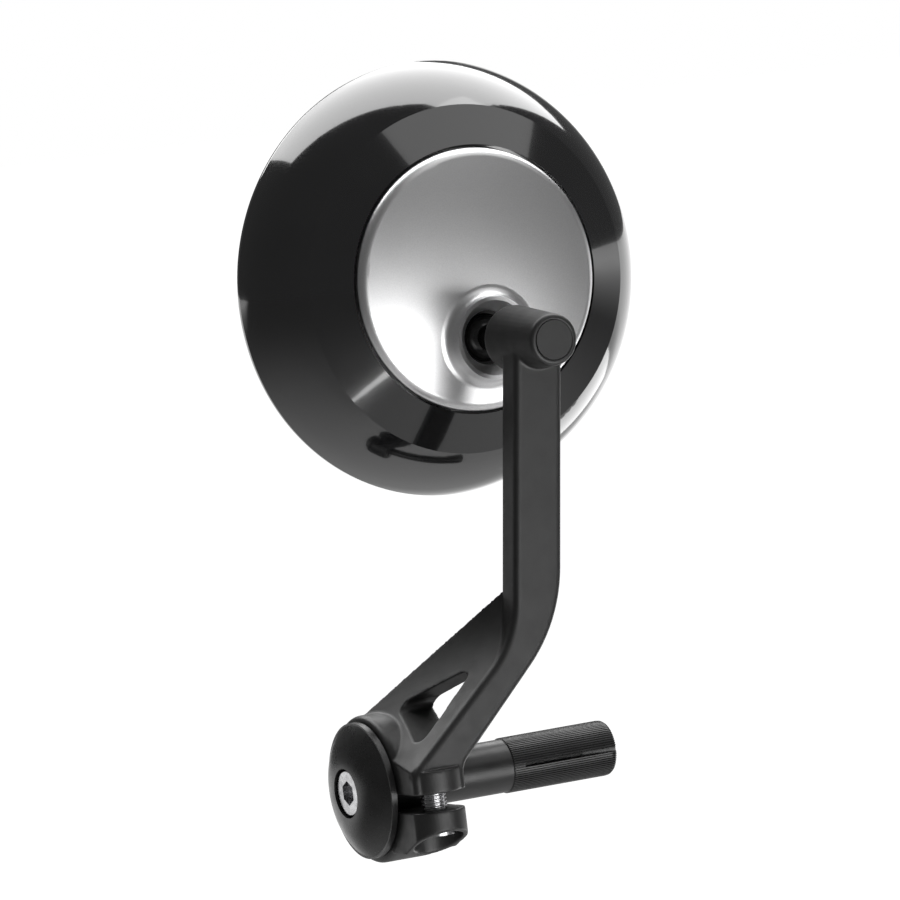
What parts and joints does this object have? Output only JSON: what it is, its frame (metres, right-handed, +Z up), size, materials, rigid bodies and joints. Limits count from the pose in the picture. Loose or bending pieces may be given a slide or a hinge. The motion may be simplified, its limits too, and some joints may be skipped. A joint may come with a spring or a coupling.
{
  "type": "bar-end mirror",
  "caption": "Round mirror on a ball joint, carried by a bent arm that clamps round a bar-end adapter with a split expander sleeve.",
  "frame": {"origin": "centre of the adapter's shoulder face, where the end of the handlebar seats, on the bar axis", "axes": "+X along the bar axis into the handlebar, -Y the back of the mirror head, +Z up"},
  "size_m": [0.1004, 0.0584, 0.1779],
  "materials": {
    "satin_black": "satin anodised black",
    "gloss_black": "high-gloss black",
    "silver": "bead-blasted satin silver",
    "steel": "zinc-plated steel",
    "black_steel": "blackened steel",
    "plastic": "matt moulded",
    "brass": "turned",
    "rubber": "matt",
    "mirror": "silvered glass"
  },
  "bodies": {
    "bar_adapter": {"hub": "satin_black", "end_cap": "satin_black", "draw_washer": "steel", "expander_sleeve": "satin_black"},
    "draw_screw": {"draw_screw": "steel"},
    "cone": {"cone_nut": "steel"},
    "arm": {"arm": "satin_black", "clamp_washer": "steel", "thread_insert": "steel", "ball_stud": "black_steel", "stud_nut": "steel", "boss_plug": "plastic"},
    "clamp_bolt": {"clamp_bolt": "steel"},
    "pan_seat": {"front_seat": "plastic"},
    "tilt_seat": {"rear_seat": "plastic"},
    "mirror_head": {"back_insert": "silver", "housing": "gloss_black", "socket_carrier": "plastic", "pressure_pad": "plastic", "disc_spring": "steel", "preload_ring": "brass", "mirror_glass": "mirror", "adhesive_pad": "rubber", "backing_plate": "plastic", "glass_gasket": "rubber", "carrier_screws": "steel", "housing_screws": "steel"}
  },
  "joints": [
    {"name": "arm_swivel", "type": "hinge", "parent": "bar_adapter", "child": "arm", "pos_m": [0, 0, 0], "axis": [1, 0, 0], "continuous": true},
    {"name": "draw_screw_turn", "type": "hinge", "parent": "bar_adapter", "child": "draw_screw", "pos_m": [0, 0, 0], "axis": [1, 0, 0], "range_deg": [0, 720]},
    {"name": "cone_draw", "type": "slide", "parent": "bar_adapter", "child": "cone", "axis": [-1, 0, 0], "range_m": [0, 0.0021]},
    {"name": "clamp_bolt_turn", "type": "hinge", "parent": "arm", "child": "clamp_bolt", "pos_m": [-0.00715, -0.02, 0], "axis": [0, 0, 1], "range_deg": [-720, 0]},
    {"name": "head_pan", "type": "hinge", "parent": "arm", "child": "pan_seat", "pos_m": [0.0312, 0.005, 0.0975], "axis": [0, 0, 1], "range_deg": [-20, 20]},
    {"name": "head_tilt", "type": "hinge", "parent": "pan_seat", "child": "tilt_seat", "pos_m": [0.0312, 0.005, 0.0975], "axis": [1, 0, 0], "range_deg": [-20, 20]},
    {"name": "head_spin", "type": "hinge", "parent": "tilt_seat", "child": "mirror_head", "pos_m": [0.0312, 0.005, 0.0975], "axis": [0, 1, 0], "continuous": true}
  ],
  "couplings": [
    {"joint": "cone_draw", "follows": "draw_screw_turn", "m_per_rad": 0.00015915}
  ]
}
